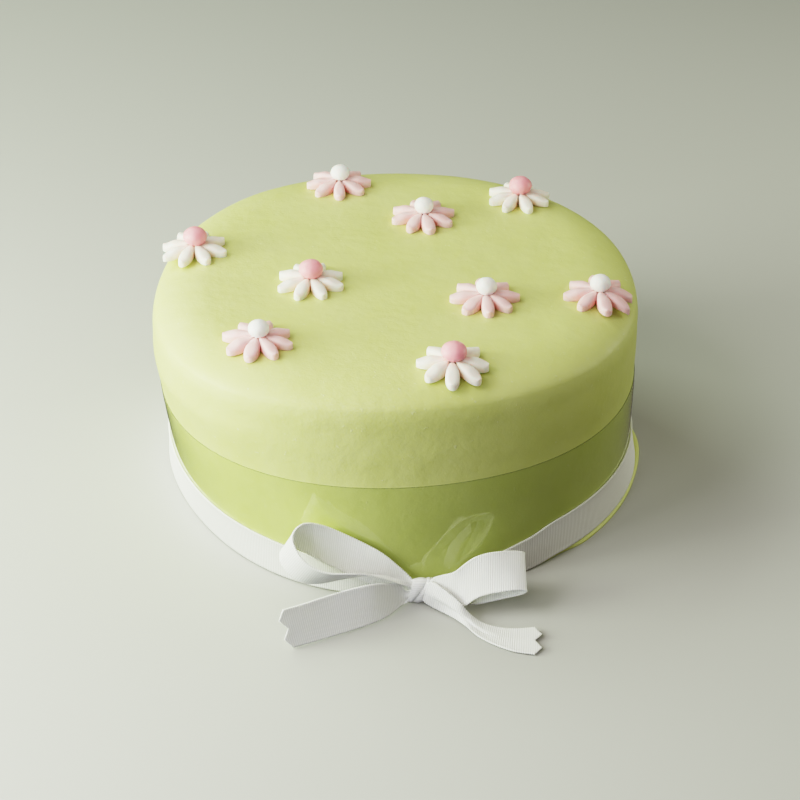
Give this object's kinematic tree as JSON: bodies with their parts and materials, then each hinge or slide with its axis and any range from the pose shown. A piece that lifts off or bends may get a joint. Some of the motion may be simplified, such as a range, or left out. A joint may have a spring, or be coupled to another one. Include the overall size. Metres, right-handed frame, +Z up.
{
  "type": "iced sponge cake",
  "caption": "Round sponge cake under pale green marzipan, with a clear collar, a ribbon band tied in a bow, and sugar daisies on top.",
  "frame": {"origin": "middle of the cake's flat underside", "axes": "+Z up, -Y to the side with the bow, +X to the right of someone who looks at the bow"},
  "size_m": [0.21, 0.2485, 0.1029],
  "materials": {
    "marzipan": "soft satin sugar paste",
    "clear_film": "clear glossy film",
    "ribbon_band": "cross-ribbed white ribbon",
    "ribbon_bow": "cross-ribbed white ribbon",
    "white_sugar": "satin sugar paste",
    "pale_pink_sugar": "satin sugar paste",
    "pink_sugar": "satin sugar paste"
  },
  "bodies": {
    "root": {"cake": "marzipan", "collar": "clear_film", "ribbon_band": "ribbon_band", "bow_knot": "ribbon_bow", "bow_loop_left": "ribbon_bow", "bow_loop_right": "ribbon_bow", "bow_tail_left": "ribbon_bow", "bow_tail_right": "ribbon_bow", "daisy_petals_1": "pale_pink_sugar", "daisy_ball_1": "white_sugar", "daisy_petals_2": "pale_pink_sugar", "daisy_ball_2": "white_sugar", "daisy_petals_3": "white_sugar", "daisy_ball_3": "pink_sugar", "daisy_petals_4": "white_sugar", "daisy_ball_4": "pink_sugar", "daisy_petals_5": "white_sugar", "daisy_ball_5": "pink_sugar", "daisy_petals_6": "pale_pink_sugar", "daisy_ball_6": "white_sugar", "daisy_petals_7": "pale_pink_sugar", "daisy_ball_7": "white_sugar", "daisy_petals_8": "pale_pink_sugar", "daisy_ball_8": "white_sugar", "daisy_petals_9": "white_sugar", "daisy_ball_9": "pink_sugar"}
  },
  "joints": []
}
